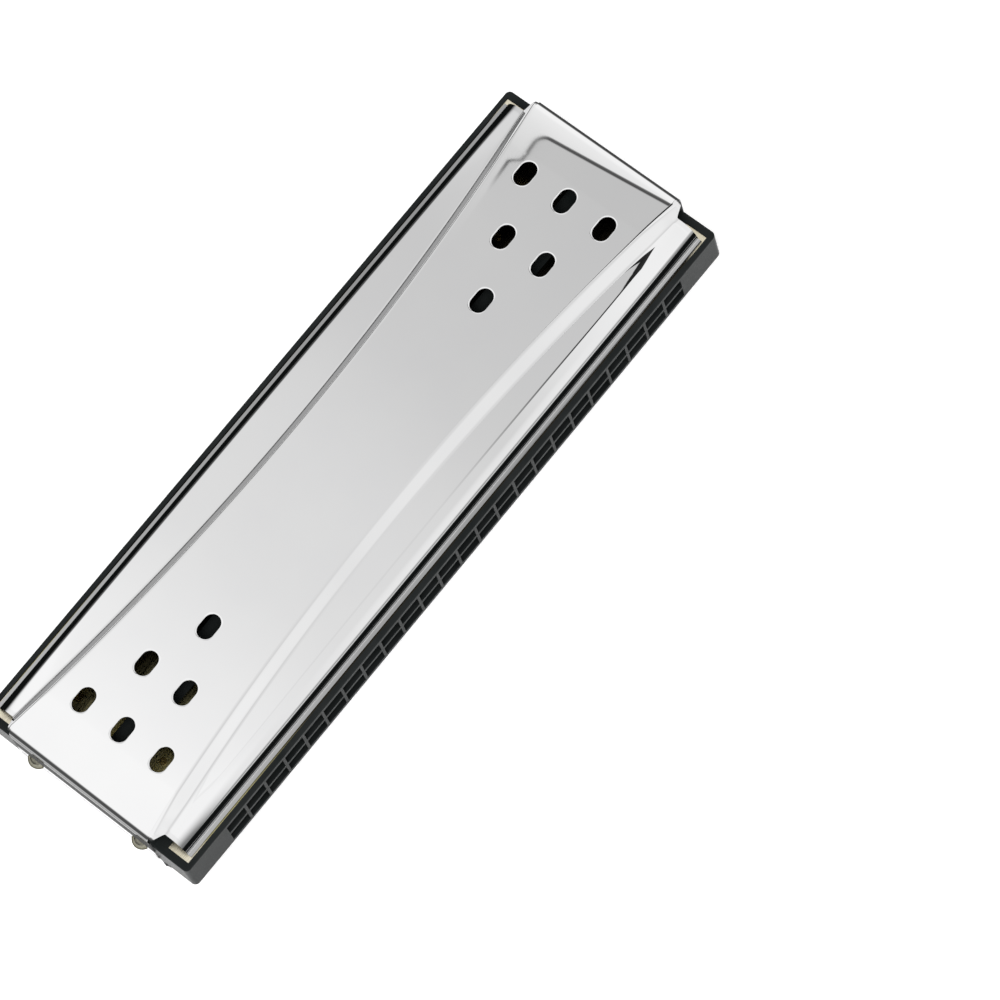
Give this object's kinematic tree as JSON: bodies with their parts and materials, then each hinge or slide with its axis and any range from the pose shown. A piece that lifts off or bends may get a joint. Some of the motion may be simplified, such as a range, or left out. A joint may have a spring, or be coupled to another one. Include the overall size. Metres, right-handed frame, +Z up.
{
  "type": "harmonica",
  "caption": "Double-sided tremolo harmonica: waisted chrome covers with oval vents over brass reed plates on a moulded black comb, played from either long edge.",
  "frame": {"origin": "under the middle of the instrument, on the plane that the lower cover's flat crown rests on", "axes": "+X along the instrument from the front player's low notes to the high ones, -Y the front row of holes, +Z up"},
  "size_m": [0.182, 0.0582, 0.0236],
  "materials": {
    "comb_plastic": "moulded black, semi-gloss",
    "cover_chrome": "polished mirror chrome plate",
    "plate_brass": "pale brass sheet, fine brushed",
    "reed_brass": "scraped brass strip",
    "rivet_brass": "pressed brass",
    "plate_screw_brass": "turned brass",
    "screw_nickel": "nickel-plated, turned dome head"
  },
  "bodies": {
    "harmonica": {"comb": "comb_plastic", "top_cover": "cover_chrome", "bottom_cover": "cover_chrome", "reed_plate_upper_front": "plate_brass", "reed_roots_upper_front": "reed_brass", "reed_rivets_upper_front": "rivet_brass", "plate_screws_upper_front": "plate_screw_brass", "reed_plate_lower_front": "plate_brass", "reed_roots_lower_front": "reed_brass", "reed_rivets_lower_front": "rivet_brass", "plate_screws_lower_front": "plate_screw_brass", "reed_plate_upper_rear": "plate_brass", "reed_roots_upper_rear": "reed_brass", "reed_rivets_upper_rear": "rivet_brass", "plate_screws_upper_rear": "plate_screw_brass", "reed_plate_lower_rear": "plate_brass", "reed_roots_lower_rear": "reed_brass", "reed_rivets_lower_rear": "rivet_brass", "plate_screws_lower_rear": "plate_screw_brass", "cover_screws_left": "screw_nickel", "cover_screws_right": "screw_nickel"},
    "blow_reeds_upper_front": {"blow_reeds_upper_front": "reed_brass"},
    "draw_reeds_upper_front": {"draw_reeds_upper_front": "reed_brass"},
    "blow_reeds_lower_front": {"blow_reeds_lower_front": "reed_brass"},
    "draw_reeds_lower_front": {"draw_reeds_lower_front": "reed_brass"},
    "blow_reeds_upper_rear": {"blow_reeds_upper_rear": "reed_brass"},
    "draw_reeds_upper_rear": {"draw_reeds_upper_rear": "reed_brass"},
    "blow_reeds_lower_rear": {"blow_reeds_lower_rear": "reed_brass"},
    "draw_reeds_lower_rear": {"draw_reeds_lower_rear": "reed_brass"}
  },
  "joints": [
    {"name": "blow_swing_upper_front", "type": "hinge", "parent": "harmonica", "child": "blow_reeds_upper_front", "pos_m": [0, -0.0106, 0.01565], "axis": [1, 0, 0], "range_deg": [-2.5, 2.5], "stiffness_Nm_per_rad": 1.5},
    {"name": "draw_swing_upper_front", "type": "hinge", "parent": "harmonica", "child": "draw_reeds_upper_front", "pos_m": [0, -0.0227, 0.01695], "axis": [1, 0, 0], "range_deg": [-2.5, 2.5], "stiffness_Nm_per_rad": 1.5},
    {"name": "blow_swing_lower_front", "type": "hinge", "parent": "harmonica", "child": "blow_reeds_lower_front", "pos_m": [0, -0.0106, 0.00795], "axis": [1, 0, 0], "range_deg": [-2.5, 2.5], "stiffness_Nm_per_rad": 1.5},
    {"name": "draw_swing_lower_front", "type": "hinge", "parent": "harmonica", "child": "draw_reeds_lower_front", "pos_m": [0, -0.0227, 0.00665], "axis": [1, 0, 0], "range_deg": [-2.5, 2.5], "stiffness_Nm_per_rad": 1.5},
    {"name": "blow_swing_upper_rear", "type": "hinge", "parent": "harmonica", "child": "blow_reeds_upper_rear", "pos_m": [0, 0.0106, 0.01565], "axis": [1, 0, 0], "range_deg": [-2.5, 2.5], "stiffness_Nm_per_rad": 1.5},
    {"name": "draw_swing_upper_rear", "type": "hinge", "parent": "harmonica", "child": "draw_reeds_upper_rear", "pos_m": [0, 0.0227, 0.01695], "axis": [1, 0, 0], "range_deg": [-2.5, 2.5], "stiffness_Nm_per_rad": 1.5},
    {"name": "blow_swing_lower_rear", "type": "hinge", "parent": "harmonica", "child": "blow_reeds_lower_rear", "pos_m": [0, 0.0106, 0.00795], "axis": [1, 0, 0], "range_deg": [-2.5, 2.5], "stiffness_Nm_per_rad": 1.5},
    {"name": "draw_swing_lower_rear", "type": "hinge", "parent": "harmonica", "child": "draw_reeds_lower_rear", "pos_m": [0, 0.0227, 0.00665], "axis": [1, 0, 0], "range_deg": [-2.5, 2.5], "stiffness_Nm_per_rad": 1.5}
  ]
}
